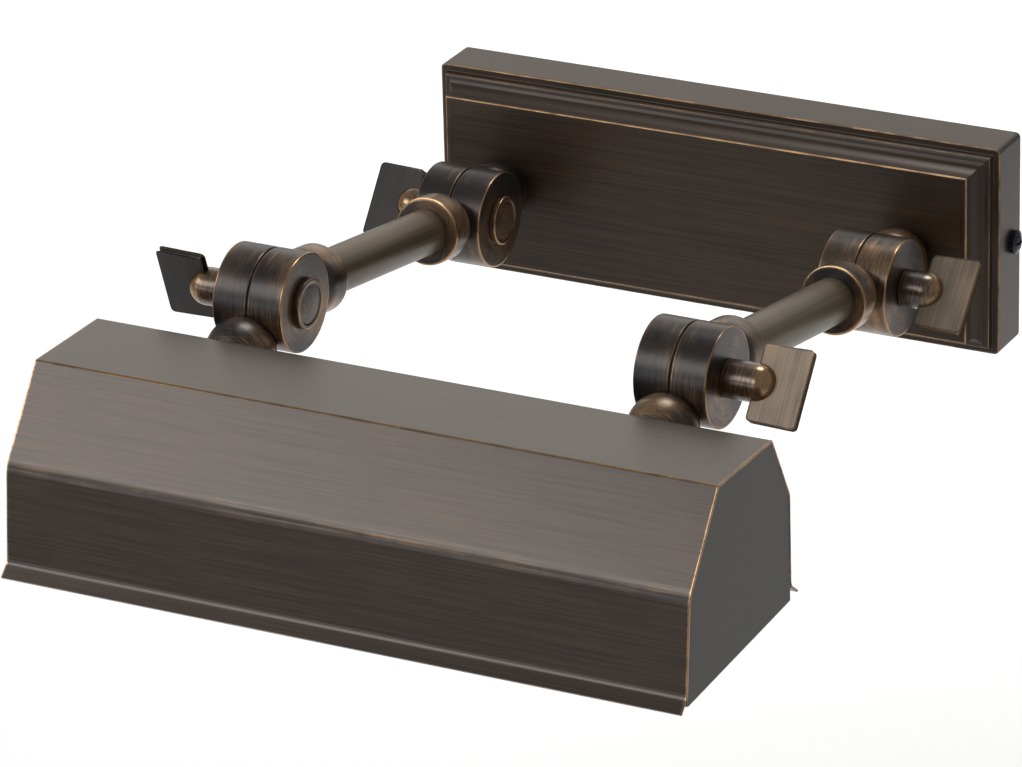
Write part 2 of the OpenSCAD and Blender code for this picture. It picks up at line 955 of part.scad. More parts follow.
backplate_cover();
wall_bracket();
cover_screws();
cable_grommet();
terminal_block();
terminal_screws();
earth_screw();
earth_lead();
plate_leads();
plate_knuckle_left();
plate_knuckle_right();
plate_lock_washers();
plate_locknuts();
rear_friction_rings();
rear_pivot_bolts();
arm_rear_knuckle_left();
arm_rear_knuckle_right();
arm_tube_left();
arm_tube_right();
arm_front_knuckle_left();
arm_front_knuckle_right();
arm_lead_left();
arm_lead_right();
front_pivot_bolt_left();
front_pivot_bolt_right();
wing_nut_rear_left();
wing_nut_rear_right();
wing_nut_front_left();
wing_nut_front_right();
shade_shell();
shade_end_cap_left();
shade_end_cap_right();
shade_knuckle_left();
shade_knuckle_right();
shade_lock_washers();
shade_locknuts();
front_friction_rings();
lampholder_bracket();
bracket_nuts();
lampholder_left();
lampholder_right();
lampholder_nuts();
lampholder_contacts();
shade_leads();
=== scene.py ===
"""Looks of a wall-mounted picture light in dark brushed bronze with worn copper edges.

Lengths are in millimetres until a piece is made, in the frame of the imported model:
X along the shade, Y into the wall, Z up, origin on the wall behind the backplate.
"""

import json
import math

import bmesh
import bpy
from mathutils import Matrix, Vector


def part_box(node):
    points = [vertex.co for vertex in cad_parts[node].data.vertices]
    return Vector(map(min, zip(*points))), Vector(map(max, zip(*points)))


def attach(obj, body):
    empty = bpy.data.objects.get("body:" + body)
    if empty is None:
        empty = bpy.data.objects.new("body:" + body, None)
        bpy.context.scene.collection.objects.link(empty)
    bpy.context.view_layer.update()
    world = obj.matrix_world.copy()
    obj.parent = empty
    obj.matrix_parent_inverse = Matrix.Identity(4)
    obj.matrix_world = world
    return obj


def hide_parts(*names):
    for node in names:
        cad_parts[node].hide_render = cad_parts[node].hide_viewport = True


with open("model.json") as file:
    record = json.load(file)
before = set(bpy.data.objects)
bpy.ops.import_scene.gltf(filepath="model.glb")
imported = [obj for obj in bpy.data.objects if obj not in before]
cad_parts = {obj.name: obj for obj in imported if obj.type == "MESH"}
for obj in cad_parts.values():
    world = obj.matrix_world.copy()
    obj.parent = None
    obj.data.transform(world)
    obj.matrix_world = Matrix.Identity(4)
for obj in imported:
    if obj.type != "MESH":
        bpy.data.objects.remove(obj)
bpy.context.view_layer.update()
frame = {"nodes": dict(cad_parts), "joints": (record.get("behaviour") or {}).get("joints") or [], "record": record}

MM = 0.001
SPIN_STEPS = 96
SPIN_GRAIN = 3.0
ALONG = 1 / 30
TURN_SMOOTH = math.radians(35)
SIDES = ((-1, "left"), (1, "right"))

# ---- Places and sizes, from the frame --------------------------------------

joints = {joint["name"]: joint for joint in frame["joints"]}
REAR = Vector(joints["arm_left_swing"]["pos_m"]) / MM
FRONT = Vector(joints["shade_tilt"]["pos_m"]) / MM
ARM_X = abs(REAR.x)
ARM = FRONT - REAR
ARM_LENGTH = ARM.length
ARM_RISE = math.atan2(ARM.z, -ARM.y)


def size(node):
    low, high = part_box(node)
    return (high - low) / MM


COVER = size("backplate_cover")
SHADE_LENGTH = size("shade_shell").x
TUBE_R = size("arm_tube_left").x / 2
DISC_R = size("plate_knuckle_left").z / 2

# Backplate
RIM_DEPTH = 20.7
PANEL_DEPTH = 33.8
PANEL_INSET = 8.4
RIM_FACE = 2.8
RIM_STEP = 2.6
COVER_CORNER = 2.0
COVER_SHEET = 1.2

# Knuckles
HALF_WIDTH = 14.35
GAP = 0.4
NECK_CLEAR_R = DISC_R + 0.6
PLATE_NECK = (22.5, 13.0, 32.6)
ARM_NECK = (27.5, 13.5, 35.5)
SHADE_NECK = (27.5, 13.5, 36.4)
NECK_START = 16.0
NECK_ROUND_FROM = 21.2
FOOT_R = 9.5
BOLT_R = 4.0
BUTTON_R = 9.7
BUTTON_HEIGHT = 2.6
PLATE_HALF = {-1: 1, 1: -1}
SHADE_HALF = {-1: -1, 1: -1}

# Wing nuts
STEM_R = 7.3
STEM_TIP = 30.7
BLADE_IN = 23.4
BLADE_OUT = 41.2
FRONT_REACH = 3.2
BLADE_LENGTH = 28.4
BLADE_THICKNESS = 2.8
LEAN = {"rear_left": 38, "rear_right": 44, "front_left": -19, "front_right": 38}

# Shade, in its own frame: origin at the front pivot axis, lower edge level
SHADE_TILT = math.radians(2.5)
SHADE_STAND_OFF = 36.4
TOP_WIDTH = 44.5
TOP_FALL = 2.8
FRONT_SLOPE = Vector((-25.6, -31.7))
FRONT_PANEL = Vector((-4.891, -34.8))
REAR_SLOPE = Vector((13.4, -27.6))
REAR_PANEL = Vector((-1.009, -34.0))
FRONT_LEAN = 8.0
REAR_LEAN = 1.7
FLANGE_R = 4.0
FLANGE_ANGLE = 50
LIP_LENGTH = 5.0
FOOT_BELOW_MIDDLE = 3.0
FRONT_BEND_R = 13.0
TOP_BEND_R = 1.35
REAR_BEND_R = 3.0
SHEET = 1.0
CAP_THICKNESS = 1.2
CAP_RECESS = 0.2
CAP_PLAY = 0.04

# Lampholders and leads
HOLDER_X = 14.75
HOLDER_LENGTH = 42.0
HOLDER_R = 13.0
GRIP_RINGS = 7
NIPPLE_R = 4.95
LAMP_DROP = 27.0
THREAD_R = 7.0
THREAD_DEPTH = 24.0
THREAD_RECESS = 1.5
LEAD_R = 2

# Camera, fitted to the object's straight edges
CAMERA_TARGET = Vector((0, -100, -47.91))
CAMERA_DISTANCE = 2440.82
CAMERA_ANGLES = (27.51, 23.54, -1.53)
CAMERA_RIGHT = -46.07
CAMERA_UP = 3.45
CAMERA_LENS = 222.31

# Stage, in metres
FLOOR_HALF = 6
FLOOR_LEVEL = -0.3
FLOOR_TONE = 0.9
WORLD_BRIGHTNESS = 0.36


# ---- Outlines ---------------------------------------------------------------

def unit(v):
    return v / v.length


def soften(points, radius, worn=None, closed=False, arc=4, fade=0.7):
    """Rounds the corners of a line of 2D points.

    Returns (point, wear) pairs. radius is one number, or one for each corner. worn
    gives each corner's wear, which fades to nothing a little way along the line.
    """
    count = len(points)
    worn = worn or [0.0] * count
    radii = radius if isinstance(radius, list) else [radius] * count
    result = []
    for i, point in enumerate(points):
        if not closed and i in (0, count - 1):
            result.append((point.copy(), worn[i]))
            continue
        before, after = points[i - 1] - point, points[(i + 1) % count] - point
        turn = math.pi - before.angle(after)
        if turn < math.radians(12):
            result.append((point.copy(), worn[i]))
            continue
        room = 0.45 * min(before.length, after.length)
        trim = min(radii[i] * math.tan(turn / 2), room)
        start, end = point + unit(before) * trim, point + unit(after) * trim
        guard = min(trim + fade, room + 0.02)
        if worn[i] and guard > trim:
            result.append((point + unit(before) * guard, 0.0))
        for step in range(arc + 1):
            t = step / arc
            curve = start * (1 - t) ** 2 + point * 2 * t * (1 - t) + end * t ** 2
            result.append((curve, worn[i] * math.sin(math.pi * (0.15 + 0.7 * t))))
        if worn[i] and guard > trim:
            result.append((point + unit(after) * guard, 0.0))
    return result


def shifted(line, distance, closed=False):
    """The line of 2D points moved to its left, with mitred corners."""
    count = len(line)
    moved = []
    for i, point in enumerate(line):
        before = line[i] - line[i - 1] if closed or i else line[1] - line[0]
        after = line[(i + 1) % count] - line[i] if closed or i < count - 1 else before
        if before.length < 1e-9 or after.length < 1e-9:
            before = after = before if before.length > after.length else after
        a, b = unit(Vector((-before.y, before.x))), unit(Vector((-after.y, after.x)))
        middle = a + b
        middle = unit(middle) if middle.length > 1e-6 else a
        moved.append(point + middle * distance / max(middle.dot(b), 0.35))
    return moved


# ---- Surfaces ---------------------------------------------------------------

class Surface:
    """Points and faces in millimetres. Each point carries its grain, which is
    (across the brushing, and two slow directions along it), and its wear."""

    def __init__(self):
        self.points, self.faces, self.grain, self.wear = [], [], [], []

    def add(self, point, grain=(0, 0, 0), wear=0.0):
        self.points.append(Vector(point))
        self.grain.append(tuple(grain))
        self.wear.append(wear)
        return len(self.points) - 1

    def bridge(self, rows, close_rows=False, close_across=False):
        """Faces between neighbouring rows of point numbers."""
        last = len(rows) if close_rows else len(rows) - 1
        for i in range(last):
            a, b = rows[i], rows[(i + 1) % len(rows)]
            width = len(a) if close_across else len(a) - 1
            for j in range(width):
                k = (j + 1) % len(a)
                corners = []
                for corner in (a[j], a[k], b[k], b[j]):
                    if corner not in corners:
                        corners.append(corner)
                if len(corners) > 2:
                    self.faces.append(corners)

    def cap(self, row):
        self.faces.append(list(row))

    def place(self, matrix):
        self.points = [matrix @ point for point in self.points]
        return self

    def join(self, other):
        start = len(self.points)
        self.points += other.points
        self.grain += other.grain
        self.wear += other.wear
        self.faces += [[corner + start for corner in face] for face in other.faces]
        return self


def spin(profile, steps=SPIN_STEPS):
    """Turns (x, radius, wear) points round the X axis."""
    surface, rows, along = Surface(), [], 0.0
    for i, (x, radius, wear) in enumerate(profile):
        if i:
            along += math.hypot(x - profile[i - 1][0], radius - profile[i - 1][1])
        if radius < 1e-4:
            rows.append([surface.add((x, 0, 0), (along, 0, 0), wear)] * steps)
            continue
        row = []
        for step in range(steps):
            angle = 2 * math.pi * step / steps
            c, s = math.cos(angle), math.sin(angle)
            grain = (along, SPIN_GRAIN * c, SPIN_GRAIN * s)
            row.append(surface.add((x, radius * c, radius * s), grain, wear))
        rows.append(row)
    surface.bridge(rows, close_across=True)
    return surface


def turned(points, radius, worn=None, arc=4, fade=0.7):
    """A spun profile, from (x, radius) corners that are rounded first."""
    line = soften([Vector(p) for p in points], radius, worn, arc=arc, fade=fade)
    return spin([(p.x, max(p.y, 0.0), wear) for p, wear in line])


def plate(outline, thickness, edge, wear, inner_wear=0.0, across=1):
    """A flat piece in the YZ plane, centred on X, with softened and worn edges.

    The brushing runs square to Y or Z: across is 0 or 1 for the one it crosses.
    Wear fades from inner_wear inside the edge to nothing at the middle.
    """
    surface = Surface()
    half = thickness / 2
    middle = sum(outline, Vector((0, 0))) / len(outline)
    edge_rings = [
        (1, edge * 3, inner_wear),
        (1, edge, wear * 0.7),
        (1 - 0.3 * edge / half, edge * 0.3, wear),
    ]
    rings = []
    for inner in (0.55, 0.8):
        shrunk = [middle + (p - middle) * inner for p in outline]
        rings.append((1, shrunk, inner_wear * (inner - 0.5) * 2))
    for x, inset, amount in edge_rings:
        rings.append((x, shifted(outline, inset, closed=True), amount))
    rings.append((1 - edge / half, list(outline), wear * 0.5))
    rings.append((1 - 2.4 * edge / half, list(outline), 0.0))
    rows = []
    for x, line, amount in rings + [(-x, line, amount) for x, line, amount in reversed(rings)]:
        rows.append([
            surface.add((x * half, *p), (p[across], p[1 - across] * ALONG, x), amount)
            for p in line
        ])
    surface.bridge(rows, close_across=True)
    surface.cap(rows[0])
    surface.cap(rows[-1])
    return surface


def finished(name, surface, material, body, slot, *nodes):
    """Makes the surface a piece that rides on a body and stands for CAD nodes."""
    mesh = bpy.data.meshes.new(name)
    mesh.from_pydata([p * MM for p in surface.points], [], surface.faces)
    grain = mesh.attributes.new("grain", "FLOAT_VECTOR", "POINT")
    grain.data.foreach_set("vector", [v for g in surface.grain for v in g])
    wear = mesh.attributes.new("wear", "FLOAT", "POINT")
    wear.data.foreach_set("value", surface.wear)
    tidy = bmesh.new()
    tidy.from_mesh(mesh)
    bmesh.ops.recalc_face_normals(tidy, faces=tidy.faces)
    tidy.to_mesh(mesh)
    tidy.free()
    mesh.materials.append(material)
    mesh.shade_smooth()
    mesh.set_sharp_from_angle(angle=TURN_SMOOTH)
    piece = bpy.data.objects.new(name, mesh)
    bpy.context.scene.collection.objects.link(piece)
    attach(piece, body)
    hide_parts(*nodes)


# ---- Materials --------------------------------------------------------------

class Nodes:
    """A material's node tree, with short ways to add and link nodes."""

    def __init__(self, name):
        self.material = bpy.data.materials.new(name)
        self.material.use_nodes = True
        self.tree = self.material.node_tree
        self.shader = self.tree.nodes["Principled BSDF"]

    def link(self, socket, value):
        if isinstance(value, bpy.types.NodeSocket):
            self.tree.links.new(value, socket)
        else:
            socket.default_value = value

    def add(self, kind, settings=None, **inputs):
        node = self.tree.nodes.new("ShaderNode" + kind)
        for key, value in (settings or {}).items():
            setattr(node, key, value)
        for key, value in inputs.items():
            self.link(node.inputs[key.replace("_", " ")], value)
        return node

    def maths(self, operation, *values):
        node = self.tree.nodes.new("ShaderNodeMath")
        node.operation = operation
        for socket, value in zip(node.inputs, values):
            self.link(socket, value)
        return node.outputs[0]

    def spread(self, value, low, high, to_low, to_high):
        """Maps low..high to to_low..to_high, with smooth ends."""
        node = self.add(
            "MapRange", {"interpolation_type": "SMOOTHSTEP"},
            Value=value, From_Min=low, From_Max=high, To_Min=to_low, To_Max=to_high,
        )
        return node.outputs["Result"]

    def noise(self, vector, scale, detail=2.0):
        node = self.add("TexNoise", Vector=vector, Scale=scale, Detail=detail)
        return node.outputs["Fac"]

    def blend(self, amount, a, b):
        node = self.tree.nodes.new("ShaderNodeMix")
        node.data_type = "RGBA"
        self.link(node.inputs["Factor"], amount)
        self.link(node.inputs[6], a)
        self.link(node.inputs[7], b)
        return node.outputs[2]

    def stretched(self, vector, x, y, z):
        node = self.tree.nodes.new("ShaderNodeVectorMath")
        node.operation = "MULTIPLY"
        self.link(node.inputs[0], vector)
        node.inputs[1].default_value = (x, y, z)
        return node.outputs[0]

    def surface(self, **inputs):
        for key, value in inputs.items():
            self.link(self.shader.inputs[key.replace("_", " ")], value)
        return self.material


COPPER = (0.30, 0.165, 0.078, 1)
COPPER_PALE = (0.42, 0.275, 0.15, 1)


def bronze(name, dark, light, copper_shows, patches, brushed, roughness, coat):
    """Dark patina over copper-coloured metal, brushed along the grain.

    copper_shows is how readily the metal shows away from worn edges, patches how
    uneven the patina is, and brushed how deep the brushing is.
    """
    m = Nodes(name)
    grain = m.add("Attribute", {"attribute_name": "grain"}).outputs["Vector"]
    wear = m.add("Attribute", {"attribute_name": "wear"}).outputs["Fac"]
    place = m.add("TexCoord").outputs["Object"]
    hair = m.noise(m.stretched(grain, 5.0, 0.8, 0.8), 1.0, 3.0)
    streak = m.noise(m.stretched(grain, 1.3, 0.5, 0.5), 1.0, 3.0)
    cloud = m.noise(place, 38.0, 3.0)
    speck = m.noise(place, 420.0, 2.0)

    uneven = m.maths("ADD", m.maths("MULTIPLY", hair, 0.45), m.maths("MULTIPLY", streak, 0.55))
    uneven = m.maths("SUBTRACT", uneven, 0.5)
    patchy = m.maths("MULTIPLY", m.maths("SUBTRACT", cloud, 0.5), patches)
    kept = m.spread(m.noise(place, 90.0, 3.0), 0.35, 0.62, 0.62, 1.0)
    rubbed = m.maths("ADD", m.maths("MULTIPLY", wear, kept), m.maths("MULTIPLY", uneven, 1.1))
    rubbed = m.maths("ADD", rubbed, m.maths("ADD", patchy, copper_shows))
    bare = m.spread(rubbed, 0.15, 0.85, 0.0, 1.0)

    tone = m.spread(m.maths("ADD", uneven, m.maths("ADD", patchy, 0.5)), 0.3, 0.7, 0.0, 1.0)
    patina = m.blend(tone, (*dark, 1), (*light, 1))
    metal = m.blend(speck, COPPER, COPPER_PALE)
    colour = m.blend(bare, patina, metal)
    rough = m.maths("ADD", roughness, m.maths("MULTIPLY", uneven, 0.5 * brushed))
    rough = m.maths("SUBTRACT", rough, m.maths("MULTIPLY", bare, 0.08))
    height = m.maths("ADD", m.maths("MULTIPLY", hair, brushed), m.maths("MULTIPLY", speck, 0.12))
    bump = m.add("Bump", Strength=0.35, Distance=0.00006, Height=height)
    return m.surface(
        Base_Color=colour,
        Metallic=m.spread(bare, 0.0, 1.0, 0.4, 1.0),
        Roughness=rough,
        Normal=bump.outputs["Normal"],
        Coat_Weight=m.spread(bare, 0.0, 1.0, coat, 0.25 * coat),
        Coat_Roughness=0.24,
    )


def plain(name, colour, metallic, roughness, grain_scale, uneven, depth):
    """A material with fine uneven tone, roughness and surface."""
    m = Nodes(name)
    place = m.add("TexCoord").outputs["Object"]
    fine = m.noise(place, grain_scale, 3.0)
    broad = m.noise(place, grain_scale / 12, 2.0)
    darker = tuple(c * (1 - uneven) for c in colour) + (1,)
    lighter = tuple(min(c * (1 + uneven), 1.0) for c in colour) + (1,)
    bump = m.add("Bump", Strength=0.4, Distance=depth, Height=fine)
    return m.surface(
        Base_Color=m.blend(m.spread(broad, 0.3, 0.7, 0.0, 1.0), darker, lighter),
        Metallic=metallic,
        Roughness=m.spread(fine, 0.3, 0.7, roughness * 0.85, min(roughness * 1.15, 1.0)),
        Normal=bump.outputs["Normal"],
    )


def brushed_metal(name, colour, roughness, stretch):
    """Bare or plated metal with lines of brushing or turning."""
    m = Nodes(name)
    place = m.add("TexCoord").outputs["Object"]
    lines = m.noise(m.stretched(place, *stretch), 1.0, 3.0)
    broad = m.noise(place, 45.0, 2.0)
    dull = tuple(c * 0.72 for c in colour) + (1,)
    bump = m.add("Bump", Strength=0.3, Distance=0.00003, Height=lines)
    return m.surface(
        Base_Color=m.blend(broad, dull, (*colour, 1)),
        Metallic=1.0,
        Roughness=m.spread(lines, 0.3, 0.7, roughness * 0.7, roughness * 1.3),
        Normal=bump.outputs["Normal"],
    )


def woven(name, colour):
    """A braided sleeve, from two sets of crossing bands."""
    m = Nodes(name)
    place = m.add("TexCoord").outputs["Object"]
    bands = []
    for axis in ("X", "DIAGONAL"):
        wave = m.add(
            "TexWave", {"bands_direction": axis}, Vector=place, Scale=280.0, Distortion=1.0
        )
        bands.append(wave.outputs["Fac"])
    weave = m.maths("MULTIPLY", *bands)
    dark = tuple(c * 0.45 for c in colour) + (1,)
    bump = m.add("Bump", Strength=0.6, Distance=0.0002, Height=weave)
    return m.surface(
        Base_Color=m.blend(weave, dark, (*colour, 1)), Roughness=0.85, Normal=bump.outputs["Normal"]
    )


SHEET_BRONZE = bronze(
    "sheet_bronze", dark=(0.013, 0.0068, 0.0032), light=(0.048, 0.026, 0.0125),
    copper_shows=-0.02, patches=0.12, brushed=0.12, roughness=0.29, coat=0.34,
)
# The cover's finish is the shade's sheet bronze; this copy is a little darker, painted shade for the cover's
# darker front, and is also duller, with less coat and more roughness.
COVER_PAINTED_SHADE_COPY = bronze(
    "cover_sheet_painted_shade", dark=(0.013, 0.0068, 0.003), light=(0.046, 0.0245, 0.0115),
    copper_shows=-0.02, patches=0.12, brushed=0.14, roughness=0.42, coat=0.08,
)
CAP_BRONZE = bronze(
    "cap_bronze", dark=(0.015, 0.013, 0.010), light=(0.021, 0.018, 0.014),
    copper_shows=-0.2, patches=0.1, brushed=0.05, roughness=0.5, coat=0.15,
)
CAST_BRONZE = bronze(
    "cast_bronze", dark=(0.014, 0.011, 0.010), light=(0.060, 0.037, 0.024),
    copper_shows=0.1, patches=1.5, brushed=0.3, roughness=0.34, coat=0.08,
)
ARM_BRONZE = bronze(
    "arm_bronze", dark=(0.016, 0.012, 0.010), light=(0.085, 0.048, 0.028),
    copper_shows=0.2, patches=1.6, brushed=0.3, roughness=0.32, coat=0.08,
)
# The blades share one bronze, drawn as two copies: a much lighter one, a painted highlight, for the right-hand
# blades, and a darker one, painted shade, for the left-hand blades.
BLADE_PAINTED_LIT = bronze(
    "blade_painted_lit", dark=(0.120, 0.092, 0.064), light=(0.230, 0.170, 0.115),
    copper_shows=-0.04, patches=1.0, brushed=0.2, roughness=0.36, coat=0.3,
)
BLADE_PAINTED_SHADE = bronze(
    "blade_painted_shade", dark=(0.010, 0.008, 0.007), light=(0.026, 0.018, 0.013),
    copper_shows=-0.1, patches=0.4, brushed=0.2, roughness=0.5, coat=0.1,
)
POLISHED_BRONZE = bronze(
    "polished_bronze", dark=(0.018, 0.010, 0.007), light=(0.090, 0.048, 0.024),
    copper_shows=0.14, patches=0.6, brushed=0.1, roughness=0.26, coat=0.5,
)
TUBE_BRONZE = bronze(
    "tube_bronze", dark=(0.068, 0.049, 0.026), light=(0.104, 0.076, 0.043),
    copper_shows=-0.16, patches=0.3, brushed=0.1, roughness=0.42, coat=0.15,
)
PLATED_STEEL = brushed_metal("plated_steel", (0.62, 0.63, 0.65), 0.34, (60, 900, 900))
BARE_BRASS = brushed_metal("bare_brass", (0.70, 0.50, 0.23), 0.28, (700, 700, 700))
BLACK_STEEL = plain("black_steel", (0.020, 0.022, 0.034), 0.8, 0.3, 700, 0.3, 0.00002)
FRICTION = plain("friction_ring", (0.012, 0.012, 0.013), 0.0, 0.8, 500, 0.2, 0.00003)
RUBBER = plain("rubber", (0.022, 0.022, 0.022), 0.0, 0.7, 300, 0.2, 0.00004)
LAMPHOLDER = plain("lampholder", (0.018, 0.018, 0.02), 0.0, 0.42, 600, 0.25, 0.00003)
NYLON = plain("terminal_body", (0.74, 0.72, 0.66), 0.0, 0.45, 400, 0.05, 0.00003)
LEAD_SLEEVE = woven("lead_sleeve", (0.30, 0.055, 0.035))
EARTH_SLEEVE = plain("earth_sleeve", (0.10, 0.30, 0.035), 0.0, 0.5, 300, 0.1, 0.00003)

CAD_MATERIALS = {
    "plated_steel": PLATED_STEEL,
    "bare_brass": BARE_BRASS,
    "black_steel": BLACK_STEEL,
    "friction_ring": FRICTION,
    "rubber": RUBBER,
    "lampholder": LAMPHOLDER,
    "terminal_body": NYLON,
    "lead_sleeve": LEAD_SLEEVE,
    "earth_sleeve": EARTH_SLEEVE,
}


# ---- Backplate --------------------------------------------------------------

def rounded_rectangle(half_width, half_height, radius, steps=5):
    """Points round a rectangle, starting at its upper right corner."""
    ring = []
    for corner, (sx, sz) in enumerate(((1, 1), (-1, 1), (-1, -1), (1, -1))):
        centre = Vector((sx * (half_width - radius), sz * (half_height - radius)))
        for step in range(steps + 1):
            angle = math.radians(90 * corner + 90 * step / steps)
            ring.append(centre + radius * Vector((math.cos(angle), math.sin(angle))))
    return ring


def make_cover():
    """The pressed cover: a rim, a step, a cove and a raised panel, round its outline."""
    cove_start, cove_width = RIM_FACE + 1, PANEL_INSET - RIM_FACE - 1
    cove_foot = RIM_DEPTH + RIM_STEP + 0.4
    cove_rise = PANEL_DEPTH - 3.5 - RIM_DEPTH - RIM_STEP
    cove = [
        Vector((
            cove_start + cove_width * math.sin(t),
            cove_foot + cove_rise * (1 - math.cos(t)),
        ))
        for t in (math.radians(15 * step) for step in range(7))
    ]
    inner = PANEL_INSET + COVER_SHEET
    section = [
        Vector((inner, PANEL_DEPTH - COVER_SHEET)),
        Vector((inner, RIM_DEPTH - COVER_SHEET)),
        Vector((COVER_SHEET, RIM_DEPTH - COVER_SHEET)),
        Vector((COVER_SHEET, 0)),
        Vector((0, 0)),
        Vector((0, RIM_DEPTH)),
        Vector((RIM_FACE, RIM_DEPTH)),
        Vector((RIM_FACE + 0.4, RIM_DEPTH + RIM_STEP)),
        *cove,
        Vector((PANEL_INSET, PANEL_DEPTH)),
        Vector((PANEL_INSET + 3, PANEL_DEPTH)),
    ]
    worn = [0, 0, 0, 0, 0.3, 0.75, 0, 0.7] + [0] * len(cove) + [1.0, 0]
    surface, rows, along = Surface(), [], 0.0
    line = soften(section, 0.55, worn, fade=0.5)
    for i, (p, wear) in enumerate(line):
        if i:
            along += (p - line[i - 1][0]).length
        radius = max(COVER_CORNER - p.x, 0.3)
        ring = rounded_rectangle(COVER.x / 2 - p.x, COVER.z / 2 - p.x, radius)
        rows.append([
            surface.add((q.x, -p.y, q.y), (along, q.x * ALONG, q.y * ALONG), wear)
            for q in ring
        ])
    surface.bridge(rows, close_across=True)
    for row, face in ((rows[0], 0), (rows[-1], 1)):
        corners = []
        for number in row:
            p = surface.points[number]
            corners.append(surface.add(p, (p.z, p.x * ALONG, 50 + face)))
        surface.cap(corners)
    # The cover takes the slightly darker painted-shade copy of the sheet bronze.
    finished("cover", surface, COVER_PAINTED_SHADE_COPY, "backplate", "sheet_bronze", "backplate_cover")


# ---- Knuckles ---------------------------------------------------------------

def disc(side):
    """The round body of a knuckle half, on the given side of the parting line."""
    profile = [(GAP, 0), (GAP, DISC_R), (HALF_WIDTH, DISC_R), (HALF_WIDTH, 0)]
    surface = turned(profile, 0.5, [0, 0.6, 0.85, 0], fade=0.35)
    return surface.place(Matrix.Diagonal((side, 1, 1, 1)))


def neck_line(distance, radius, end, collar):
    """(distance, radius, wear) points of a neck from near its disc to its end."""
    start = math.asin(min(NECK_START - distance, 0) / radius)
    if collar:
        stop = 0.0
    else:
        stop = min(math.asin((end - distance) / radius), math.acos(FOOT_R / radius))
    count = 26
    line = []
    for step in range(count + 1):
        angle = start + (stop - start) * step / count
        line.append((distance + radius * math.sin(angle), radius * math.cos(angle), 0.0))
    if collar:
        line += [
            (end - 1.0, radius, 0.0), (end - 0.5, radius, 0.7), (end - 0.15, radius - 0.15, 1.0),
            (end, radius - 0.5, 0.6), (end, radius - 1.2, 0.0), (end, TUBE_R - 0.1, 0.0),
            (end - 2, TUBE_R - 0.1, 0.0),
        ]
    else:
        line += [(end, max(FOOT_R, line[-1][1]), 0.2)]
    return line


def neck(side, distance, radius, end, collar):
    """A ball-shaped neck along Y, cut clear of the other half's disc."""
    line = neck_line(distance, radius, end, collar)
    ball_wear = 0.1 if collar else 0.3
    surface, columns, steps = Surface(), [], 80
    for step in range(steps):
        angle = 2 * math.pi * step / steps
        c, s = math.cos(angle), math.sin(angle)
        own = c * side > 0
        limit = DISC_R - 0.8 if own else NECK_CLEAR_R
        fixed = next(i for i, p in enumerate(line) if p[0] > NECK_ROUND_FROM)
        first = next(i for i, p in enumerate(line) if math.hypot(p[0], p[1] * s) >= limit)
        before, after = line[max(first - 1, 0)], line[first]
        a = math.hypot(before[0], before[1] * s)
        b = math.hypot(after[0], after[1] * s)
        t = min(max((limit - a) / (b - a), 0), 1) if b > a else 0
        cut = [before[i] + (after[i] - before[i]) * t for i in range(2)]
        begin = math.atan2(cut[1], cut[0] - distance)
        finish = math.atan2(line[fixed][1], line[fixed][0] - distance)
        column = []
        if own:
            rim = [(c * cut[1], cut[0] - 0.3 * k, s * cut[1]) for k in (2, 1)]
        else:
            around = math.atan2(cut[1] * s, cut[0])
            rim = [
                (side * GAP, DISC_R * math.cos(around) * 0.97, DISC_R * math.sin(around) * 0.97),
                (side * GAP, limit * math.cos(around), limit * math.sin(around)),
            ]
        for point in rim:
            column.append((Vector(point), 0.0))
        for k in range(9):
            turn = begin + (finish - begin) * k / 8
            r, y = radius * math.sin(turn), distance + radius * math.cos(turn)
            column.append((Vector((c * r, y, s * r)), 0.5 if k == 0 else ball_wear * k / 8))
        for y, r, wear in line[fixed + 1:]:
            column.append((Vector((c * r, y, s * r)), wear or (ball_wear if y < end - 4 else 0.0)))
        along, numbers = 0.0, []
        for k, (point, wear) in enumerate(column):
            along += (point - column[k - 1][0]).length if k > 2 else 0.0
            grain = (along + begin * radius, SPIN_GRAIN * c, SPIN_GRAIN * s)
            numbers.append(surface.add(point, grain, wear))
        columns.append(numbers)
    surface.bridge(columns, close_rows=True)
    surface.cap([column[0] for column in columns])
    surface.cap([column[-1] for column in columns])
    return surface


def pivot(side, front):
    """The place of a knuckle, at the shade's end of the arm or at the wall's."""
    centre = FRONT if front else REAR
    return Matrix.Translation((side * ARM_X, centre.y, centre.z))


def towards(angle):
    """Turns a neck that points along +Y to an angle in the YZ plane."""
    return Matrix.Rotation(angle, 4, "X")


def make_half(name, side, half, front, angle, neck_size, collar, body):
    """A knuckle half: a disc, with a neck that turns to the given angle."""
    surface = disc(half)
    surface.join(neck(half, *neck_size, collar).place(towards(angle)))
    surface.place(pivot(side, front))
    tone = ARM_BRONZE if collar else CAST_BRONZE
    finished(name + "_half", surface, tone, body, "cast_bronze", name)


def bolt(side):
    """A pivot bolt whose button head is on the given side."""
    tip, face = -HALF_WIDTH - 9.5, HALF_WIDTH
    top = face + BUTTON_HEIGHT
    profile = [
        (tip, 0), (tip, BOLT_R), (face, BOLT_R), (face, BUTTON_R), (top - 0.35, BUTTON_R),
        (top - 0.1, BUTTON_R - 0.5), (top - 0.1, BUTTON_R - 1.4), (top - 0.5, BUTTON_R - 2.2),
        (top - 0.2, 4.5), (top, 0),
    ]
    worn = [0, 0, 0, 0, 0.5, 0.8, 0.8, 0.1, 0, 0]
    surface = turned(profile, 0.6, worn, fade=0.3)
    return surface.place(Matrix.Diagonal((side, 1, 1, 1)))


def make_bolts():
    rear = bolt(1).place(pivot(-1, False))
    rear.join(bolt(-1).place(pivot(1, False)))
    finished("rear_bolts", rear, CAST_BRONZE, "backplate", "cast_bronze", "rear_pivot_bolts")
    for (side, name), body in zip(SIDES, ("arm_left", "shade")):
        surface = bolt(-side).place(pivot(side, True))
        node = "front_pivot_bolt_" + name
        finished("front_bolt_" + name, surface, CAST_BRONZE, body, "cast_bronze", node)


# ---- Wing nuts --------------------------------------------------------------

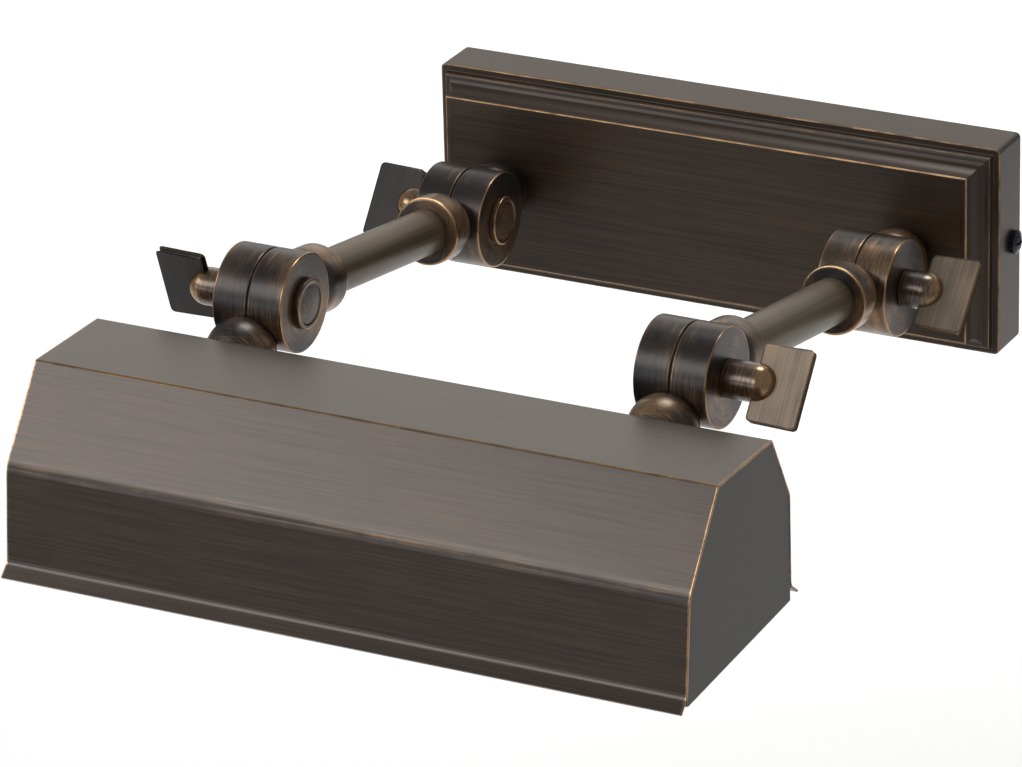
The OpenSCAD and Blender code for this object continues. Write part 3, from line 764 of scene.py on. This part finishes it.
def blade_outline(reach):
    """The blade's outline in the plane of the axis (first) and its length (second)."""
    inner, outer = (BLADE_LENGTH - 1) / 2, BLADE_LENGTH / 2
    corners = [
        Vector((BLADE_IN + reach, inner)), Vector((BLADE_OUT + reach, outer)),
        Vector((BLADE_OUT + reach, -outer)), Vector((BLADE_IN + reach, -inner)),
    ]
    return [p for p, _ in soften(corners, 1.0, closed=True)]


def stem(reach):
    """The round post of a wing nut, slightly faceted by its polishing."""
    start, tip = HALF_WIDTH + 0.05, STEM_TIP + reach
    dome = [
        (tip - STEM_R * (1 - math.sin(t)), STEM_R * math.cos(t), 0.3 + 0.35 * math.sin(2 * t))
        for t in (math.radians(7.5 * step) for step in range(13))
    ]
    foot = [(start, 0, 0), (start, STEM_R - 0.4, 0.2), (start + 0.4, STEM_R, 0.3)]
    shank = [(start + 1.2, STEM_R, 0.0), (tip - STEM_R - 1, STEM_R, 0.15)]
    return spin(foot + shank + dome, 64)


def make_wing_nut(place, side, front, body):
    reach = FRONT_REACH if front else 0
    turn = Matrix.Rotation(math.radians(-LEAN[place]), 4, "X")
    matrix = pivot(side, front) @ Matrix.Diagonal((side, 1, 1, 1)) @ turn
    upright = Matrix.Rotation(math.radians(-90), 4, "Z")
    blade = plate(blade_outline(reach), BLADE_THICKNESS, 0.3, 0.8, 0.22, across=0)
    node = "wing_nut_" + place
    finished("stem_" + place, stem(reach).place(matrix), POLISHED_BRONZE, body, "cast_bronze", node)
    # Right-hand blades take the painted-highlight copy of the blade bronze, left-hand blades the painted-shade
    # copy.
    tone = BLADE_PAINTED_LIT if side > 0 else BLADE_PAINTED_SHADE
    finished("blade_" + place, blade.place(matrix @ upright), tone, body, "cast_bronze", node)


# ---- Arms -------------------------------------------------------------------

def make_tube(side, name):
    seat = ARM_NECK[2] - 8
    profile = [(seat, 0), (seat, TUBE_R), (ARM_LENGTH - seat, TUBE_R), (ARM_LENGTH - seat, 0)]
    surface = turned(profile, 0.2)
    surface.grain = [(g[1] * 3, g[2] * 3, g[0] * ALONG * 0.3) for g in surface.grain]
    from_x_to_y = Matrix.Rotation(math.radians(90), 4, "Z")
    surface.place(pivot(side, False) @ towards(math.pi - ARM_RISE) @ from_x_to_y)
    node = "arm_tube_" + name
    finished("tube_" + name, surface, TUBE_BRONZE, "arm_" + name, "tube_bronze", node)


def make_arms_and_knuckles():
    for side, name in SIDES:
        arm = "arm_" + name
        plate_half, shade_half = PLATE_HALF[side], SHADE_HALF[side]
        make_half(
            "plate_knuckle_" + name, side, plate_half, False,
            0, PLATE_NECK, False, "backplate",
        )
        make_half(
            "arm_rear_knuckle_" + name, side, -plate_half, False,
            math.pi - ARM_RISE, ARM_NECK, True, arm,
        )
        make_half(
            "arm_front_knuckle_" + name, side, -shade_half, True,
            -ARM_RISE, ARM_NECK, True, arm,
        )
        make_half(
            "shade_knuckle_" + name, side, shade_half, True,
            math.pi + SLOPE_ANGLE + SHADE_TILT, SHADE_NECK, False, "shade",
        )
        make_tube(side, name)
        make_wing_nut("rear_" + name, side, False, "wing_rear_" + name)
        make_wing_nut("front_" + name, side, True, "wing_front_" + name)


# ---- Shade ------------------------------------------------------------------

SLOPE_ANGLE = math.atan2(REAR_SLOPE.x, -REAR_SLOPE.y)
IN_SHADE = Matrix.Translation((0, FRONT.y, FRONT.z)) @ Matrix.Rotation(SHADE_TILT, 4, "X")


def flange(start, side, lean):
    """Points of the flared lower edge after start: a bend, then a straight lip."""
    points, first = [], math.radians(lean)
    for step in range(1, 11):
        angle = math.radians(lean + (FLANGE_ANGLE - lean) * step / 10)
        points.append(start + FLANGE_R * Vector((
            side * (math.cos(first) - math.cos(angle)), math.sin(first) - math.sin(angle)
        )))
    lip = Vector((side * math.sin(angle), -math.cos(angle)))
    return points + [points[-1] + lip * length for length in (LIP_LENGTH - 0.4, LIP_LENGTH)]


def shade_corners():
    """The outer bends: top front, top rear, rear bend, rear end, front bend, front end."""
    across, drop = math.cos(SLOPE_ANGLE), math.sin(SLOPE_ANGLE)
    middle = Vector((
        -SHADE_STAND_OFF * across - FOOT_BELOW_MIDDLE * drop,
        -SHADE_STAND_OFF * drop + FOOT_BELOW_MIDDLE * across,
    ))
    top_rear = middle - REAR_SLOPE / 2
    top_front = top_rear + Vector((-TOP_WIDTH, TOP_FALL))
    rear_bend, front_bend = top_rear + REAR_SLOPE, top_front + FRONT_SLOPE
    rear_end, front_end = rear_bend + REAR_PANEL, front_bend + FRONT_PANEL
    return top_front, top_rear, rear_bend, rear_end, front_bend, front_end


def shade_line():
    """The sheet's outer line from the front flange over the top to the rear flange."""
    top_front, top_rear, rear_bend, rear_end, front_bend, front_end = shade_corners()
    front, rear = flange(front_end, -1, FRONT_LEAN), flange(rear_end, 1, -REAR_LEAN)
    over = [front_end, front_bend, top_front, top_rear, rear_bend, rear_end]
    points = [*reversed(front), *over, *rear]
    first = len(front)
    worn = [0.0] * len(points)
    radii = [TOP_BEND_R] * len(points)
    worn[first + 1:first + 5] = 0.3, 0.75, 0.5, 0.2
    radii[first + 1:first + 5] = FRONT_BEND_R, TOP_BEND_R, TOP_BEND_R, REAR_BEND_R
    worn[0] = worn[-1] = 0.5
    return soften(points, radii, worn, arc=6, fade=0.25)


def make_shell():
    """The folded sheet: its outer skin and lining, from end to end."""
    line = shade_line()
    outer = [p for p, _ in line]
    half = SHADE_LENGTH / 2
    surface, rows = Surface(), []
    stations = [(half, 0.25, 1.0), (half - 0.25, 0.0, 1.0), (half - 1.1, 0.0, 0.0)]
    stations += [(half * (0.9 - 0.1 * step), 0.0, 0.0) for step in range(19)]
    stations += [(-x, inset, wear) for x, inset, wear in reversed(stations[:3])]
    along = [0.0]
    for i in range(1, len(outer)):
        along.append(along[-1] + (outer[i] - outer[i - 1]).length)
    for x, inset, end_wear in stations:
        skin, lining = shifted(outer, -inset), shifted(outer, -SHEET + inset)
        row = [
            surface.add((x, *p), (s, x * ALONG, 0), max(end_wear, wear))
            for p, s, (_, wear) in zip(skin, along, line)
        ]
        row += reversed([
            surface.add((x, *p), (s, x * ALONG, 9), end_wear * 0.5) for p, s in zip(lining, along)
        ])
        rows.append(row)
    surface.bridge(rows, close_across=True)
    width = len(outer)
    for row in (rows[0], rows[-1]):
        for i in range(width - 1):
            surface.faces.append([row[i], row[i + 1], row[-2 - i], row[-1 - i]])
    finished("shell", surface.place(IN_SHADE), SHEET_BRONZE, "shade", "sheet_bronze", "shade_shell")


def make_end_cap(side, name):
    """A flat plate let into the end of the shell."""
    top_front, top_rear, rear_bend, rear_end, front_bend, front_end = shade_corners()
    corners = [front_end, front_bend, top_front, top_rear, rear_bend, rear_end]
    inner = shifted(corners, -SHEET - CAP_PLAY)
    foot = min(p.y for p, _ in shade_line())
    drop = inner[0].y - foot
    front_foot = Vector((inner[0].x - drop * math.tan(math.radians(FRONT_LEAN)), foot))
    edge = [front_foot, *inner, Vector((inner[-1].x, foot))]
    outline = [p for p, _ in soften(edge, 0.8, closed=True)]
    x = side * (SHADE_LENGTH / 2 - CAP_RECESS - CAP_THICKNESS / 2)
    surface = plate(list(reversed(outline)), CAP_THICKNESS, 0.22, 1.0, 0.0)
    surface.place(IN_SHADE @ Matrix.Translation((x, 0, 0)))
    node = "shade_end_cap_" + name
    finished("end_cap_" + name, surface, CAP_BRONZE, "shade", "sheet_bronze", node)


# ---- Lampholders and leads --------------------------------------------------

def holder_frame():
    """Origin between the two lampholders, with Z square to the top panel."""
    top_front, top_rear = shade_corners()[:2]
    middle = (top_front + top_rear) / 2
    fall = Matrix.Rotation(-math.atan2(TOP_FALL, TOP_WIDTH), 4, "X")
    drop = Matrix.Translation((0, 0, -SHEET - LAMP_DROP))
    return IN_SHADE @ Matrix.Translation((0, *middle)) @ fall @ drop


def make_lampholder(side, name):
    """A ribbed lampholder on its nipple, with the lamp's thread in its mouth."""
    mouth, recess = HOLDER_LENGTH, HOLDER_LENGTH - THREAD_RECESS
    body = [
        (-8, 0), (-8, NIPPLE_R), (0.0, NIPPLE_R), (0.0, HOLDER_R + 1), (10, HOLDER_R + 1),
        (10.5, HOLDER_R),
    ]
    for ring in range(GRIP_RINGS):
        x, groove = 14 + ring * 2.6, HOLDER_R - 0.5
        body += [(x, HOLDER_R), (x + 0.5, groove), (x + 1.3, groove), (x + 1.8, HOLDER_R)]
    body += [
        (mouth, HOLDER_R), (mouth, THREAD_R + 1.2), (recess, THREAD_R + 1.2), (recess, THREAD_R)
    ]
    matrix = holder_frame() @ Matrix.Diagonal((side, 1, 1, 1))
    matrix = matrix @ Matrix.Translation((HOLDER_X, 0, 0))
    skin = turned(body, 0.25).place(matrix)
    node = "lampholder_" + name
    finished("holder_" + name, skin, LAMPHOLDER, "shade", "lampholder", node)
    thread = [
        (recess - t * 0.25, THREAD_R + 0.35 * math.cos(t * math.pi / 5.6), 0.0)
        for t in range(90)
    ]
    floor = mouth - THREAD_DEPTH
    inside = [(recess, THREAD_R + 1.0, 0), *thread, (floor, THREAD_R - 0.5, 0), (floor, 0, 0)]
    sleeve = spin(inside, 48)
    finished("thread_" + name, sleeve.place(matrix), BARE_BRASS, "shade", "bare_brass", node)


def make_leads(name, routes, body, node):
    """Round leads in a braided sleeve, each along its own route."""
    curve = bpy.data.curves.new(name, "CURVE")
    curve.dimensions = "3D"
    curve.bevel_depth = LEAD_R * MM
    curve.bevel_resolution = 5
    curve.use_fill_caps = True
    for route in routes:
        spline = curve.splines.new("BEZIER")
        spline.bezier_points.add(len(route) - 1)
        for knot, point in zip(spline.bezier_points, route):
            knot.co = Vector(point) * MM
            knot.handle_left_type = knot.handle_right_type = "AUTO"
    curve.materials.append(LEAD_SLEEVE)
    piece = bpy.data.objects.new(name, curve)
    bpy.context.scene.collection.objects.link(piece)
    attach(piece, body)
    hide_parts(node)


def make_shade_leads():
    """From each shade knuckle's neck to the lampholder on its side."""
    end = SHADE_STAND_OFF + SHEET + 9
    hub = IN_SHADE.inverted() @ holder_frame() @ Vector((0, 0, 0))
    routes = []
    for side in (-1, 1):
        across, drop = math.cos(SLOPE_ANGLE), math.sin(SLOPE_ANGLE)
        route = [
            (side * ARM_X, -(end - 4) * across, -(end - 4) * drop),
            (side * ARM_X, -(end + 3) * across, -(end + 3) * drop),
            (side * (ARM_X - 14), hub.y + 20, hub.z + 12),
            (side * 18, hub.y + 20, hub.z + 6),
            (side * 8, hub.y + 18, hub.z),
            (side * 3.6, hub.y + 4, hub.z),
            (side * 5.4, hub.y, hub.z),
            (side * 12, hub.y, hub.z),
        ]
        routes.append([IN_SHADE @ Vector(p) for p in route])
    make_leads("shade_lead_pair", routes, "shade", "shade_leads")


def paint_cad():
    """Gives each carried-over CAD node its slot's material."""
    slots = {part["node"]: part["material_slot"] for part in frame["record"]["subparts"]}
    for name, piece in frame["nodes"].items():
        material = CAD_MATERIALS.get(slots[name])
        if material:
            piece.data.materials.clear()
            piece.data.materials.append(material)


# ---- Camera and light -------------------------------------------------------

def look_from(azimuth, elevation, roll):
    """Axes of a camera that looks at the object from the given angles."""
    a, e = math.radians(azimuth), math.radians(elevation)
    back = Vector((math.sin(a) * math.cos(e), -math.cos(a) * math.cos(e), math.sin(e)))
    right = (-back).cross(Vector((0, 0, 1))).normalized()
    up = right.cross(-back)
    r = math.radians(roll)
    return back, math.cos(r) * right + math.sin(r) * up, math.cos(r) * up - math.sin(r) * right


def add_camera():
    back, right, up = look_from(*CAMERA_ANGLES)
    place = CAMERA_TARGET + back * CAMERA_DISTANCE + CAMERA_RIGHT * right + CAMERA_UP * up
    data = bpy.data.cameras.new("camera")
    data.lens, data.sensor_width = CAMERA_LENS, 36
    data.clip_start, data.clip_end = 0.1, 50
    camera = bpy.data.objects.new("camera", data)
    camera.matrix_world = Matrix.Translation(place * MM) @ Matrix(
        (right, up, back)
    ).transposed().to_4x4()
    bpy.context.scene.collection.objects.link(camera)
    bpy.context.scene.camera = camera


def add_softbox(name, place, aim, width, height, brightness, spread=180, colour=(1, 1, 1)):
    """A rectangular light, in metres, with its beam's spread in degrees.

    A narrow beam gives less energy at the same brightness, which narrowed allows for.
    """
    data = bpy.data.lights.new(name, "AREA")
    data.shape, data.size, data.size_y = "RECTANGLE", width, height
    half = math.radians(spread) / 2
    narrowed = 1 - half / math.tan(half)
    data.energy = brightness * math.pi * width * height * narrowed
    data.spread, data.color = 2 * half, colour
    light = bpy.data.objects.new(name, data)
    light.location = place
    light.rotation_euler = (Vector(aim) - Vector(place)).to_track_quat("-Z", "Y").to_euler()
    bpy.context.scene.collection.objects.link(light)


def add_stage():
    world = bpy.data.worlds.new("studio")
    bpy.context.scene.world = world
    world.use_nodes = True
    background = world.node_tree.nodes["Background"]
    background.inputs["Color"].default_value = (1, 1, 1, 1)
    background.inputs["Strength"].default_value = WORLD_BRIGHTNESS
    mesh = bpy.data.meshes.new("floor")
    corners = [(x * FLOOR_HALF, y * FLOOR_HALF, 0) for x, y in ((-1, -1), (1, -1), (1, 1), (-1, 1))]
    mesh.from_pydata(corners, [], [(0, 1, 2, 3)])
    floor = bpy.data.objects.new("floor", mesh)
    floor.location.z = FLOOR_LEVEL
    material = bpy.data.materials.new("floor_paint")
    material.use_nodes = True
    shader = material.node_tree.nodes["Principled BSDF"]
    shader.inputs["Base Color"].default_value = (FLOOR_TONE, FLOOR_TONE, FLOOR_TONE, 1)
    shader.inputs["Roughness"].default_value = 0.9
    mesh.materials.append(material)
    bpy.context.scene.collection.objects.link(floor)
    bpy.context.scene.view_settings.view_transform = "Standard"


def add_lights():
    """A low key, so the lip stays dark, with fill from the wall, the left and the floor."""
    shade = (0, -0.3, 0)
    add_softbox("key", (-0.7, -1.25, 0.76), shade, 1.8, 0.58, 4.9, spread=100)
    add_softbox("wall", (-0.8, 2.8, 1.3), shade, 4.5, 2.0, 0.8, colour=(1, 0.94, 0.86))
    add_softbox("low_strip", (-0.75, -1.6, 0.12), shade, 1.8, 0.2, 2.6, colour=(0.72, 0.86, 1))
    add_softbox("back_floor", (-0.2, 1.35, 2.6), (-0.2, 0.85, -0.3), 1.2, 1.2, 19.0, spread=78)


make_cover()
make_arms_and_knuckles()
make_bolts()
make_shell()
for side, name in SIDES:
    make_end_cap(side, name)
    make_lampholder(side, name)
make_shade_leads()
paint_cad()

add_camera()
add_stage()
add_lights()
